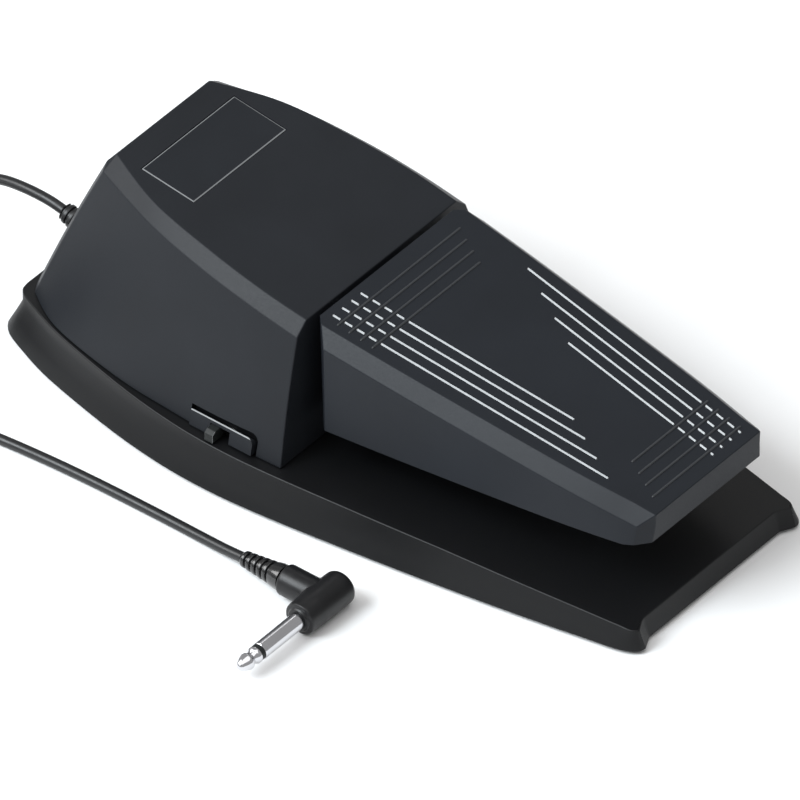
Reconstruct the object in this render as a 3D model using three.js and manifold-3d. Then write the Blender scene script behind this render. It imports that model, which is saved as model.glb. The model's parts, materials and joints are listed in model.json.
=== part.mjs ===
// A sustain pedal: a low base with a raised rear housing, a long treadle hinged inside the housing,
// a polarity slide switch, and a lead that ends in an angled 6.35 mm jack plug.
// Millimetres, +Z up. X is to the player's right. While the shapes are made, "station" is the
// distance behind the base's front wall; the whole group is then moved so that its origin is on the
// floor in the middle of the base.
import * as THREE from "three";
import { mergeVertices } from "three/addons/utils/BufferGeometryUtils.js";
import Module from "manifold-3d";

const wasm = await Module();
wasm.setup();

// ---------- driving dimensions ----------
const GAP = 0.3; // between pieces that touch
const WALL = 2.5; // moulded shells
const FOOT_HEIGHT = 1.5; // the base's underside stands this high on its feet
const EAR_REACH = 2.7; // the front corners stand ahead of the front wall
const BASE_BACK = 274.4; // station of the base's rear edge
const DECK_FRONT_HEIGHT = 7.3; // base side wall at the front ...
const DECK_RISE = 9.2; // ... and how much higher it is at the rear
const SIDE_DRAFT = 0.48; // the base's sides lean in by this much per mm of height
const MAX_DRAFT = 5.3;
const FRONT_DRAFT = 0.36;
const RIM_ROUND = 0.5;

const HOUSING_FRONT = 144.4;
const HOUSING_FOOT_FRONT = 141.2;
const HOUSING_TOP_BACK = 239.7;
const HOUSING_FRONT_HEIGHT = 67; // top face at its front edge, above the base's underside
const HOUSING_BACK_HEIGHT = 80.5;
const HOUSING_CROWN = 0.7; // how far the top face bulges between its ends

const TREADLE_SLOPE = 0.1415; // rise per mm of station
const TREADLE_NOSE_HEIGHT = 47.1; // top face carried on to station 0, above the base's underside
const TREADLE_CHAMFER = 5.2;
const SKIRT_FRONT_HEIGHT = 35.8; // lower edge of the treadle's sides, at station 0
const SKIRT_SLOPE = -0.059;

const PIVOT_STATION = 157;
const PIVOT_HEIGHT = 55;
const PIN_RADIUS = 3;
const PIN_CLEARANCE = 0.1;
const LEVER_HALF_WIDTH = 17;
const CHEEK_INSIDE = 21.7;
const CHEEK_OUTSIDE = 24.2;
const BOSS_LENGTH = 6; // posts that hold the lever under the treadle's top
const BRIDGE_UNDERSIDE = 66.3;
const TAIL_TOP = 50; // the lever's tail, at rest
const SHEET = 2; // steel sheet

const SLIDER_STATION = [166.7, 170.4];
const SLIDER_TRAVEL = 4;
const SLIDER_SLOT = [SLIDER_STATION[0] - SLIDER_TRAVEL - 0.4, SLIDER_STATION[1] + 0.4];
const SWITCH_RECESS = { front: 151.6, back: 180, top: 24.6, floor: -56.4 };
const SWITCH_PLATE = { front: 152.6, back: 179.4, top: 23.4, bottom: 17.3 };

const CABLE_RADIUS = 1.9;
const COIL_CENTRE = [-75, 311];
const COIL_RADIUS = 20.9; // middle of the turns
const COIL_COLUMNS = 3;
const COIL_LAYERS = 4;
const COIL_PITCH = 3.9; // from turn to turn
const COIL_LIFT = 1.1; // thickness of the tie that passes under the turns
const GLAND_TIP = [-12, 273.4, 30.7];
const GLAND_TILT = THREE.MathUtils.degToRad(14);
const PLUG_AXIS_HEIGHT = 6.6;
const PLUG_STATION = 94; // of the jack's own axis
const PLUG_X = -93.2; // of the barrel's axis

// ---------- heights that follow from them ----------
function deckHeight(station) {
  const left = 1 - station / BASE_BACK;
  return DECK_FRONT_HEIGHT + DECK_RISE * (1 - left * left);
}

function deckTop(station) {
  return FOOT_HEIGHT + deckHeight(station);
}

function housingTop(station) {
  const along = (station - HOUSING_FRONT) / (HOUSING_TOP_BACK - HOUSING_FRONT);
  const straight = THREE.MathUtils.lerp(HOUSING_FRONT_HEIGHT, HOUSING_BACK_HEIGHT, along);
  return FOOT_HEIGHT + straight + HOUSING_CROWN * 4 * along * (1 - along);
}

function treadleTop(station) {
  return FOOT_HEIGHT + TREADLE_NOSE_HEIGHT + TREADLE_SLOPE * station;
}

function skirtBottom(station) {
  return FOOT_HEIGHT + SKIRT_FRONT_HEIGHT + SKIRT_SLOPE * station;
}

// ---------- geometry helpers ----------
// A closed three.js geometry as a manifold-3d solid, with its faces pointing out.
function solid(geometry) {
  const bare = geometry.index ? geometry.toNonIndexed() : geometry.clone();
  bare.deleteAttribute("normal");
  bare.deleteAttribute("uv");
  const merged = mergeVertices(bare, 1e-4);
  const vertProperties = merged.attributes.position.array;
  const triVerts = new Uint32Array(merged.index.array);
  const made = new wasm.Manifold(new wasm.Mesh({ numProp: 3, vertProperties, triVerts }));
  if (made.volume() > 0) return made;
  for (let i = 0; i < triVerts.length; i += 3) {
    [triVerts[i + 1], triVerts[i + 2]] = [triVerts[i + 2], triVerts[i + 1]];
  }
  return new wasm.Manifold(new wasm.Mesh({ numProp: 3, vertProperties, triVerts }));
}

function geometryOf(made) {
  const mesh = made.getMesh();
  const geometry = new THREE.BufferGeometry();
  geometry.setAttribute("position", new THREE.BufferAttribute(mesh.vertProperties, 3));
  geometry.setIndex(new THREE.BufferAttribute(mesh.triVerts, 1));
  return geometry;
}

function join(first, ...others) {
  return others.reduce((whole, piece) => whole.add(piece), first);
}

function cut(first, ...others) {
  return others.reduce((whole, piece) => whole.subtract(piece), first);
}

// A box between two corners.
function block([x0, x1], [y0, y1], [z0, z1]) {
  const box = new THREE.BoxGeometry(x1 - x0, y1 - y0, z1 - z0);
  box.translate((x0 + x1) / 2, (y0 + y1) / 2, (z0 + z1) / 2);
  return solid(box);
}

// A round rod along one axis, from its start point.
function rod(axis, radius, length, [x, y, z], sides = 24) {
  const rodGeometry = new THREE.CylinderGeometry(radius, radius, length, sides);
  rodGeometry.translate(0, length / 2, 0);
  if (axis === "x") rodGeometry.rotateZ(-Math.PI / 2);
  if (axis === "z") rodGeometry.rotateX(Math.PI / 2);
  rodGeometry.translate(x, y, z);
  return solid(rodGeometry);
}

// A turned piece about +Z: the profile is a list of [radius, height].
function turned(profile, sides = 24) {
  const points = profile.map(([radius, height]) => new THREE.Vector2(radius, height));
  const lathe = new THREE.LatheGeometry(points, sides);
  lathe.rotateX(Math.PI / 2);
  return solid(lathe);
}

// A side profile of [station, height] points, as thick as the span across X.
function sideProfile(points, [x0, x1]) {
  const shape = new THREE.Shape(points.map(([station, height]) => new THREE.Vector2(station, height)));
  const extruded = new THREE.ExtrudeGeometry(shape, { depth: x1 - x0, bevelEnabled: false });
  const across = new THREE.Matrix4().makeBasis(
    new THREE.Vector3(0, 1, 0),
    new THREE.Vector3(0, 0, 1),
    new THREE.Vector3(1, 0, 0),
  );
  extruded.applyMatrix4(across);
  extruded.translate(x0, 0, 0);
  return solid(extruded);
}

// A cross-section of [x, height] points, as long as the span of stations.
function crossSection(points, [y0, y1]) {
  const shape = new THREE.Shape(points.map(([x, height]) => new THREE.Vector2(x, -height)));
  const extruded = new THREE.ExtrudeGeometry(shape, { depth: y1 - y0, bevelEnabled: false });
  extruded.rotateX(-Math.PI / 2);
  extruded.translate(0, y0, 0);
  return solid(extruded);
}

// A solid between rings. A ring is half an outline, [x, station, height] from front to back; its
// mirror image closes it. Rings are listed from the lowest to the highest.
function loft(rings) {
  const positions = [];
  const indices = [];
  const half = rings[0].length;
  const around = 2 * half;
  for (const ring of rings) {
    for (const [x, y, z] of ring) positions.push(x, y, z);
    for (const [x, y, z] of [...ring].reverse()) positions.push(-x, y, z);
  }
  for (let level = 0; level + 1 < rings.length; level++) {
    for (let i = 0; i < around; i++) {
      const a = level * around + i;
      const b = level * around + ((i + 1) % around);
      indices.push(a, b, b + around, a, b + around, a + around);
    }
  }
  const top = (rings.length - 1) * around;
  for (let i = 0; i + 1 < half; i++) {
    const leftFront = around - 1 - i;
    const leftBack = around - 2 - i;
    indices.push(i, leftFront, leftBack, i, leftBack, i + 1);
    indices.push(top + i, top + leftBack, top + leftFront, top + i, top + i + 1, top + leftBack);
  }
  const geometry = new THREE.BufferGeometry();
  geometry.setAttribute("position", new THREE.Float32BufferAttribute(positions, 3));
  geometry.setIndex(indices);
  return solid(geometry);
}

// Half an outline moved inwards, corners mitred. The inset is a number or a function of station.
function insetHalf(half, inset) {
  return half.map(([x, y], i) => {
    const before = i > 0 ? half[i - 1] : [-half[0][0], half[0][1]];
    const after = i + 1 < half.length ? half[i + 1] : [-x, y];
    const n1 = new THREE.Vector2(before[1] - y, x - before[0]).normalize();
    const n2 = new THREE.Vector2(y - after[1], after[0] - x).normalize();
    const amount = typeof inset === "function" ? inset(y) : inset;
    const scale = amount / (1 + n1.dot(n2));
    return [x + (n1.x + n2.x) * scale, y + (n1.y + n2.y) * scale];
  });
}

function atHeight(half, height) {
  return half.map(([x, y]) => [x, y, typeof height === "function" ? height(y, x) : height]);
}

function smooth(points, steps) {
  const curve = new THREE.SplineCurve(points.map(([x, y]) => new THREE.Vector2(x, y)));
  return curve.getPoints(steps).map((point) => [point.x, point.y]);
}

// A tube of the cable's diameter along a route of [x, station, height] points.
function cableAlong(route, steps, radius = CABLE_RADIUS) {
  const path = new THREE.CatmullRomCurve3(
    route.map(([x, y, z]) => new THREE.Vector3(x, y, z)),
    false,
    "centripetal",
  );
  const section = new THREE.Shape();
  for (let i = 0; i < 8; i++) {
    const angle = (i * Math.PI) / 4;
    const [x, y] = [radius * Math.cos(angle), radius * Math.sin(angle)];
    if (i === 0) section.moveTo(x, y);
    else section.lineTo(x, y);
  }
  section.closePath();
  return solid(new THREE.ExtrudeGeometry(section, { steps, bevelEnabled: false, extrudePath: path }));
}

// ---------- materials ----------
const finishes = {
  blackPlastic: { color: 0x2e3136, roughness: 0.5, metalness: 0 },
  rubber: { color: 0x18191b, roughness: 0.85, metalness: 0 },
  zincSteel: { color: 0x9fa3a8, roughness: 0.4, metalness: 1 },
  brightSteel: { color: 0xc8cbd0, roughness: 0.25, metalness: 1 },
  nylon: { color: 0xe6e2d6, roughness: 0.6, metalness: 0 },
  board: { color: 0x1f5a35, roughness: 0.5, metalness: 0 },
  chrome: { color: 0xd8dade, roughness: 0.12, metalness: 1 },
};

const pedal = new THREE.Group();

function place(name, made, finish, parent = pedal) {
  const mesh = new THREE.Mesh(geometryOf(made), new THREE.MeshStandardMaterial(finishes[finish]));
  mesh.name = name;
  parent.add(mesh);
  return mesh;
}

// ---------- base ----------
const BASE_SCREWS = [
  [30, 45],
  [47, 214],
];
const HOUSING_SCREWS = [
  [34, 168],
  [22, 246],
];
const BRACKET_SCREWS = [160, 214];
const BOARD_POSTS = [-12, 8];
const BOARD_STATION = 231;

function baseOutline() {
  const ear = new THREE.QuadraticBezierCurve(
    new THREE.Vector2(41.6, -EAR_REACH),
    new THREE.Vector2(45.8, -2.2),
    new THREE.Vector2(47.9, 8),
  );
  const side = [
    [47.9, 8],
    [56.2, 54],
    [64.3, 110],
    [69.4, 160],
    [67.4, 198],
    [58.4, 241],
    [51, 262],
  ];
  const backCorner = [
    [47.6, 269],
    [43.2, 273.2],
    [38, BASE_BACK],
  ];
  const earPoints = ear.getPoints(5).map((point) => [point.x, point.y]);
  return [...earPoints.slice(0, -1), ...smooth(side, 22), ...backCorner];
}

function sideInset(height) {
  return (station) => Math.min(SIDE_DRAFT * (height(station) - FOOT_HEIGHT), MAX_DRAFT);
}

function baseOuter() {
  const outline = baseOutline();
  const shoulder = (station) => deckTop(station) - RIM_ROUND;
  const roundedInset = (station) => sideInset(deckTop)(station) + RIM_ROUND;
  return loft([
    atHeight(outline, FOOT_HEIGHT),
    atHeight(insetHalf(outline, sideInset(shoulder)), shoulder),
    atHeight(insetHalf(outline, roundedInset), deckTop),
  ]);
}

// The front wall is set back between the two ears, and leans like the sides.
function frontRecess() {
  const half = (lean) => [
    [41 - lean / 3, -9],
    [40.5 - lean / 3, -EAR_REACH + lean],
    [35.3, lean],
  ];
  const top = 16;
  return loft([atHeight(half(0), 0), atHeight(half(FRONT_DRAFT * top), top)]);
}

function baseHollow(floor) {
  const inner = insetHalf(baseOutline(), WALL).filter(([, station]) => station > 8);
  const underDeck = (station) => deckTop(station) - WALL;
  const draft = (station) => sideInset(underDeck)(station) + 0.4;
  return loft([atHeight(inner, floor), atHeight(inner, 4), atHeight(insetHalf(inner, draft), underDeck)]);
}

const bothSides = (points) => points.flatMap(([x, station]) => [
  [x, station],
  [-x, station],
]);

function baseShell() {
  let shell = cut(baseOuter(), frontRecess(), baseHollow(0));
  const plateTop = FOOT_HEIGHT + SHEET + GAP;
  for (const [x, station] of bothSides(BASE_SCREWS)) {
    shell = shell.add(rod("z", 3.6, deckTop(station) - 1 - plateTop, [x, station, plateTop]));
    shell = shell.subtract(rod("z", 1.8, deckTop(station) - WALL - plateTop, [x, station, plateTop - 0.5]));
  }
  for (const station of BRACKET_SCREWS) {
    shell = shell.add(rod("z", 5, 18 - GAP - deckTop(station) + 2, [0, station, deckTop(station) - 2]));
    shell = shell.subtract(rod("z", 1.8, 14, [0, station, 9]));
  }
  const postFoot = deckTop(BOARD_STATION) - 2;
  for (const x of BOARD_POSTS) {
    shell = shell.add(rod("z", 2.6, 22 - GAP - postFoot, [x, BOARD_STATION, postFoot]));
  }
  for (const [x, station] of bothSides(HOUSING_SCREWS)) {
    shell = shell.subtract(rod("z", 1.8, 12, [x, station, deckTop(station) - 8]));
  }
  return shell.subtract(rod("z", 1.8, 12, [-4.5, 249, deckTop(249) - 8]));
}

function bottomPlate() {
  const outline = insetHalf(baseOutline(), WALL + 0.8).filter(([, station]) => station > 9);
  const floor = FOOT_HEIGHT + 0.2;
  const plate = loft([atHeight(outline, floor), atHeight(insetHalf(outline, 0.6), floor + SHEET - 0.4)]);
  const holes = bothSides(BASE_SCREWS).map(([x, station]) => rod("z", 1.9, 6, [x, station, 0]));
  return cut(plate, ...holes);
}

function foot() {
  return turned([
    [0, 0],
    [6.4, 0],
    [7, 0.5],
    [7, 1.2],
    [6.7, FOOT_HEIGHT - 0.1],
    [0, FOOT_HEIGHT - 0.1],
  ]);
}

// A pan-head screw that points up, its head's underside at height 0.
function screw(shankRadius, headRadius, headHeight, length) {
  return turned([
    [0, -headHeight],
    [headRadius - 0.5, -headHeight],
    [headRadius, -headHeight + 0.5],
    [headRadius, 0],
    [shankRadius, 0],
    [shankRadius, length - 1],
    [shankRadius * 0.4, length],
    [0, length],
  ], 16);
}

place("base_shell", baseShell(), "blackPlastic");
place("bottom_plate", bottomPlate(), "zincSteel");
const corners = [
  ["front_left", -37, 24],
  ["front_right", 37, 24],
  ["rear_left", -46, 238],
  ["rear_right", 46, 238],
];
for (const [corner, x, station] of corners) {
  place("foot_" + corner, foot(), "rubber").position.set(x, station, 0);
}
bothSides(BASE_SCREWS).forEach(([x, station], i) => {
  const plateScrew = place("plate_screw_" + (i + 1), screw(1.5, 3, 1.1, 6.4), "zincSteel");
  plateScrew.position.set(x, station, FOOT_HEIGHT - 0.1);
});

// ---------- rear housing ----------
const HOUSING_STEPS = 14;
const SIDE_CHAMFER = 4.8;
const BACK_CHAMFER = 3;
const BADGE = { station: 218, width: 49, length: 22.7, thickness: 0.8 };

function housingRings(inset) {
  const foot = smooth([
    [58.4, HOUSING_FOOT_FRONT], [59.8, 168], [59.4, 188], [57.4, 214], [50.4, 246], [40.6, 263.4],
  ], HOUSING_STEPS);
  foot.push([37, 265.6]);
  const edge = smooth([
    [45.5, HOUSING_FRONT], [45.3, 164], [43.7, 187], [39.6, 213], [31, 240.9],
  ], HOUSING_STEPS);
  edge.push([27.6, 241.9]);
  const top = smooth([
    [40.3, HOUSING_FRONT], [40.4, 164], [38.6, 188], [34.3, 216], [24.9, HOUSING_TOP_BACK],
  ], HOUSING_STEPS);
  top.push([22.4, HOUSING_TOP_BACK]);
  // The walls swell a little between the foot and the edge under the top face.
  const middle = foot.map(([x, y], i) => {
    const swell = y > 200 ? 0.4 : 0;
    return [(x + edge[i][0]) / 2 + 0.8, (y + edge[i][1]) / 2 + swell];
  });
  // The chamfer is lower along the back than along the sides.
  const edgeHeight = (station) => housingTop(station) - (station > 241.2 ? BACK_CHAMFER : SIDE_CHAMFER);
  const footHeight = (station) => deckTop(station) + GAP - (inset > 0 ? 2 : 0);
  const middleHeight = (station) => (deckTop(station) + edgeHeight(station)) / 2;
  return [
    atHeight(insetHalf(foot, inset), footHeight),
    atHeight(insetHalf(middle, inset), middleHeight),
    atHeight(insetHalf(edge, inset), (station) => edgeHeight(station) - 0.6 * inset),
    atHeight(insetHalf(top, 0.7 * inset), (station) => housingTop(station) - inset),
  ];
}

// A side profile with its upper front corner rounded.
function roundedPanel({ front, back, top }, corner, bottom, span) {
  const arc = [0, 1, 2, 3, 4].map((i) => {
    const angle = (i * Math.PI) / 8;
    return [front + corner - corner * Math.sin(angle), top - corner + corner * Math.cos(angle)];
  });
  return sideProfile([[back, bottom], [back, top], ...arc, [front, bottom]], span);
}

// A box lying in the housing's top face.
function onHousingTop(width, length, thickness, sink) {
  const { station } = BADGE;
  const slope = (housingTop(station + 5) - housingTop(station - 5)) / 10;
  const box = new THREE.BoxGeometry(width, length, thickness);
  box.translate(0, 0, -thickness / 2 - sink);
  box.rotateX(Math.atan(slope));
  box.translate(0, station, housingTop(station));
  return solid(box);
}

function glandFrame(made) {
  const frame = new THREE.Matrix4().makeRotationX(GLAND_TILT - Math.PI / 2);
  frame.setPosition(...GLAND_TIP);
  return solid(geometryOf(made).applyMatrix4(frame));
}

function housingCover() {
  const outer = loft(housingRings(0));
  const inner = loft(housingRings(WALL));
  const pocket = block([-62, SWITCH_RECESS.floor + WALL], [148, 184], [14, 28]).intersect(outer);
  let cover = outer.subtract(inner).add(pocket);
  for (const [x, station] of bothSides(HOUSING_SCREWS)) {
    const post = rod("z", 3.5, 62, [x, station, deckTop(station) + GAP]).intersect(outer);
    cover = cover.add(post).subtract(rod("z", 1.8, 14, [x, station, deckTop(station) - 1]));
  }
  return cut(
    cover,
    block([-30, 30], [130, 150], [38, 62.5]),
    roundedPanel(SWITCH_RECESS, 3, 8, [-75, SWITCH_RECESS.floor]),
    block([-58, -50], SLIDER_SLOT, [17.5, 21]),
    onHousingTop(BADGE.width + 2 * GAP, BADGE.length + 2 * GAP, BADGE.thickness + GAP, -0.1),
    glandFrame(rod("z", 3.6, 30, [0, 0, -26])),
  );
}

function strainRelief() {
  const profile = [
    [0, -17.8], [4.6, -17.8], [4.6, -15.8], [3.2, -15.8], [3.2, -10.8], [4.9, -10.8], [4.9, -9.8],
  ];
  const ribs = 4;
  const pitch = 2.3;
  for (let i = 0; i < ribs; i++) {
    const radius = 4.4 - 0.25 * i;
    const start = -9.6 + i * pitch;
    profile.push([radius, start], [radius, start + 1.5]);
    profile.push([radius - 0.9, start + 1.6], [radius - 0.9, start + pitch]);
  }
  profile.push([3.3, -0.1], [3, 0], [0, 0]);
  return glandFrame(turned(profile, 20));
}

place("housing_cover", housingCover(), "blackPlastic");
place("badge_plate", onHousingTop(BADGE.width, BADGE.length, BADGE.thickness - GAP, 0.02), "blackPlastic");
bothSides(HOUSING_SCREWS).forEach(([x, station], i) => {
  const head = deckTop(station) - WALL - 2 * GAP;
  place("housing_screw_" + (i + 1), screw(1.5, 3.2, 2, 13), "zincSteel").position.set(x, station, head);
});
place("strain_relief", strainRelief(), "rubber");

// ---------- hinge bracket and what stands on it ----------
function hingeBracket() {
  const floor = 18;
  const cheek = [
    [149, floor], [220, floor], [220, 24], [214, 38], [214, 66], [180, 66], [168, 64.5], [149, 62],
  ];
  const left = sideProfile(cheek, [-CHEEK_OUTSIDE, -CHEEK_INSIDE]);
  const right = sideProfile(cheek, [CHEEK_INSIDE, CHEEK_OUTSIDE]);
  const plate = block([-23, 23], [149, 220], [floor, floor + SHEET]);
  const shelf = block([-23, 23], [192, 208], [36, 36 + SHEET]);
  const pinHole = rod("x", PIN_RADIUS + GAP, 60, [-30, PIVOT_STATION, PIVOT_HEIGHT], 32);
  const screwHoles = BRACKET_SCREWS.map((station) => rod("z", 1.8, 6, [0, station, 16]));
  const sideHoles = rod("x", 1.8, 60, [-30, 195, 61]);
  return cut(join(left, right, plate, shelf), pinHole, ...screwHoles, sideHoles);
}

function springBridge() {
  const top = BRIDGE_UNDERSIDE + SHEET;
  const plate = block([-26.5, 26.5], [177, 213], [BRIDGE_UNDERSIDE, top]);
  const tabs = [-1, 1].map((side) => {
    const span = side < 0 ? [-26.5, -24.5] : [24.5, 26.5];
    return block(span, [186, 204], [57, top]);
  });
  return cut(join(plate, ...tabs), rod("x", 1.8, 60, [-30, 195, 61]));
}

const PIN_HEAD_X = CHEEK_OUTSIDE + GAP + 1.6;
const PIN_GROOVE = PIN_HEAD_X + CHEEK_OUTSIDE; // from the head's end face to the clip's groove

function hingePin() {
  const headHeight = 1.6;
  const neck = 2.4;
  const grooveStart = PIN_GROOVE;
  const length = grooveStart + 3;
  const profile = [
    [0, 0], [4.4, 0], [4.8, 0.4], [4.8, headHeight], [PIN_RADIUS, headHeight],
    [PIN_RADIUS, grooveStart], [neck, grooveStart], [neck, grooveStart + 1.4],
    [PIN_RADIUS, grooveStart + 1.4], [PIN_RADIUS, length + 0.2],
    [PIN_RADIUS - 0.5, length + 0.7], [0, length + 0.7],
  ];
  return turned(profile, 32);
}

function pinClip() {
  const ring = turned([[2.7, 0], [5, 0], [5, 0.8], [2.7, 0.8], [2.7, 0]], 32);
  return ring.subtract(block([-1.5, 1.5], [0, 8], [-1, 2]));
}

// A flanged sleeve: the collar keeps the lever clear of the bracket's cheek.
function hingeBush() {
  const bore = PIN_RADIUS + PIN_CLEARANCE;
  return turned([[bore, 0], [4.7, 0], [4.7, 2.6], [6, 2.6], [6, 6.6], [bore, 6.6], [bore, 0]], 32);
}

function returnSpring(radius, wire, length, turns) {
  class Helix extends THREE.Curve {
    getPoint(t, target = new THREE.Vector3()) {
      const angle = 2 * Math.PI * turns * t;
      const rise = wire + (length - 2 * wire) * THREE.MathUtils.smoothstep(t, 0.04, 0.96);
      return target.set(radius * Math.cos(angle), radius * Math.sin(angle), rise);
    }
  }
  const section = new THREE.Shape();
  section.absarc(0, 0, wire, 0, 2 * Math.PI);
  const options = { steps: turns * 14, curveSegments: 3, bevelEnabled: false, extrudePath: new Helix() };
  return solid(new THREE.ExtrudeGeometry(section, options));
}

place("hinge_bracket", hingeBracket(), "zincSteel");
place("spring_bridge", springBridge(), "zincSteel");
BRACKET_SCREWS.forEach((station, i) => {
  const screwMesh = place("bracket_screw_" + (i + 1), screw(1.5, 3.2, 2, 9), "zincSteel");
  screwMesh.rotation.x = Math.PI;
  screwMesh.position.set(0, station, 18 + SHEET + GAP);
});
for (const [side, turn, x] of [["left", Math.PI / 2, -26.8], ["right", -Math.PI / 2, 26.8]]) {
  const bridgeScrew = place("bridge_screw_" + side, screw(1.5, 2.8, 1.6, 5.6), "zincSteel");
  bridgeScrew.rotation.y = turn;
  bridgeScrew.position.set(x, 195, 61);
}
const pin = place("hinge_pin", hingePin(), "brightSteel");
pin.rotation.y = -Math.PI / 2;
pin.position.set(PIN_HEAD_X, PIVOT_STATION, PIVOT_HEIGHT);
const clip = place("pin_clip", pinClip(), "brightSteel");
clip.rotation.y = -Math.PI / 2;
clip.position.set(PIN_HEAD_X - PIN_GROOVE - GAP, PIVOT_STATION, PIVOT_HEIGHT);

const spring = place("return_spring", returnSpring(4.6, 0.65, 15.4, 6), "brightSteel");
spring.position.set(-8, 200, TAIL_TOP + GAP);
place("rest_stop_pad", block([-10, 10], [196, 204], [38 + GAP, TAIL_TOP - SHEET - GAP]), "rubber");
place("press_stop_pad", block([-2, 14], [204, 211], [57.4, BRIDGE_UNDERSIDE - GAP]), "rubber");

// ---------- contact switch above the lever's tail ----------
const SWITCH_HINGE = [173.4, 55.3];

function contactSwitch() {
  const body = block([8, 14.4], [171, 191], [56.2, BRIDGE_UNDERSIDE - GAP]);
  const holes = [175, 187].map((station) => rod("x", 1.3, 10, [6, station, 63]));
  const terminals = [173, 189].map((station) => block([14.3, 17], [station, station + 1], [63.8, 64.4]));
  const button = rod("z", 0.9, 2, [11.2, 184, 55.6]);
  return cut(join(body, button, ...terminals), ...holes);
}

function contactLever() {
  const [station, height] = SWITCH_HINGE;
  const slope = -0.225;
  const tip = 19.5;
  const rise = (y) => height + slope * (y - station);
  const points = [[station, rise(station)], [station + tip, rise(station + tip)]];
  const outline = [
    [points[0][0], points[0][1] - 0.4], [points[1][0], points[1][1] - 0.4],
    [points[1][0], points[1][1]], [points[0][0], points[0][1]],
  ];
  return join(sideProfile(outline, [8.6, 13.8]), rod("x", 0.5, 5.2, [8.6, station, height - 0.2], 12));
}

place("contact_switch", contactSwitch(), "blackPlastic");
place("contact_lever", contactLever(), "brightSteel");

// ---------- lead's inner end ----------
const INNER_LEAD = [
  [-12, 256.1, 25],
  [-12, 252.5, 24.1],
  [-12, 249, 24],
  [-12, 243, 25.6],
  [-11.8, 238, 26],
  [-11, 229, 26],
];

function cableClamp() {
  const floor = deckTop(250) + GAP;
  const body = block([-16, -1], [246.6, 251.4], [floor, 29]);
  const tunnel = block([-14.3, -9.7], [240, 258], [21.6, 27.2]);
  return cut(body, tunnel, rod("z", 1.8, 14, [-4.5, 249, 16]), block([-7.9, 0], [240, 258], [24, 31]));
}

place("circuit_board", block([-18, 14], [222, 240], [22, 23.6]), "board");
place("inner_lead", cableAlong(INNER_LEAD, 12), "rubber");
place("cable_clamp", cableClamp(), "nylon");
const clampScrew = place("clamp_screw", screw(1.5, 2.8, 1.8, 8), "zincSteel");
clampScrew.rotation.x = Math.PI;
clampScrew.position.set(-4.5, 249, 24 + GAP);

// ---------- polarity switch ----------
function switchBody() {
  const inside = SWITCH_RECESS.floor + WALL + GAP;
  const body = block([inside, inside + 8], [156, 177], [17.4, 25]);
  return cut(body, block([inside - 1, inside + 4], SLIDER_SLOT, [17.9, 20.8]));
}

// The plate in the recess leans with the housing's wall and stands a little proud of it.
function switchPlate() {
  const { front, back, top, bottom } = SWITCH_PLATE;
  const inside = SWITCH_RECESS.floor - GAP;
  const leaning = [[inside, bottom], [inside, top], [-59.3, top], [-60.6, bottom]];
  const outline = roundedPanel(SWITCH_PLATE, 2.2, bottom, [-62, -55]);
  const plate = crossSection(leaning, [front, back]).intersect(outline);
  return plate.subtract(block([-62, -55], SLIDER_SLOT, [10, 21.9]));
}

function slider() {
  const stem = block([-61, -50], SLIDER_STATION, [18.2, 20.3]);
  const knob = crossSection(
    [[-57.6, 17.1], [-57.6, 21.6], [-62, 21.6], [-63.6, 20.4], [-63.6, 17.1]],
    SLIDER_STATION,
  );
  return join(stem, knob);
}

place("polarity_switch_body", switchBody(), "nylon");
place("polarity_plate", switchPlate(), "blackPlastic");
place("polarity_slider", slider(), "blackPlastic");

// ---------- treadle ----------
const TREADLE_REAR_PLANE = 178.2; // X + station on the cut rear corners
const TREADLE_STEPS = 10;
const RIB_WIDTH = 0.8;
const RIB_HEIGHT = 0.45;
const RIB_PITCH = 5;
const RIB_COUNT = 4;

function treadleHalf(outwards, frontCorner, frontEdge, rearStation) {
  const side = smooth([[28.4, 8.5], [31.7, 36], [34.9, 76], [37.4, 112], [38.9, 139.3]], TREADLE_STEPS);
  const moved = side.map(([x, y]) => [x + outwards, y]);
  const last = moved.length - 1;
  const rearCorner = (TREADLE_REAR_PLANE - moved[last][0]);
  // The sides run on to the cut corners at both ends.
  const fitted = moved.map(([x, y], i) => [x, y + (rearCorner - 139.3) * (i / last)]);
  return [frontEdge, frontCorner, ...fitted.slice(1), [TREADLE_REAR_PLANE - rearStation, rearStation]];
}

function treadleRings(inset) {
  const skirt = treadleHalf(7, [34, 8.2], [29, 4], 134);
  const edge = treadleHalf(4.6, [33, 7.7], [28.2, 3.4], 141.3);
  const nose = inset > 0 ? [[28.1, 4.8], [26.8, 3.2]] : [[28.4, 3.7], [28.1, 3.2]];
  const top = treadleHalf(0, ...nose, 142.4);
  return [
    atHeight(insetHalf(skirt, inset), (station) => skirtBottom(station) - (inset > 0 ? 2 : 0)),
    atHeight(insetHalf(edge, inset), (station) => treadleTop(station) - TREADLE_CHAMFER - 0.6 * inset),
    atHeight(insetHalf(top, 0.7 * inset), (station) => treadleTop(station) - inset),
  ];
}

// A thin raised rib on the treadle's top face.
function rib([x0, y0], [x1, y1]) {
  const length = Math.hypot(x1 - x0, y1 - y0);
  const box = new THREE.BoxGeometry(RIB_WIDTH, length, 2 * RIB_HEIGHT);
  box.rotateZ(-Math.atan2(x1 - x0, y1 - y0));
  box.applyMatrix4(new THREE.Matrix4().makeShear(0, 0, 0, TREADLE_SLOPE, 0, 0));
  box.translate((x0 + x1) / 2, (y0 + y1) / 2, treadleTop((y0 + y1) / 2));
  return solid(box);
}

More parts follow.
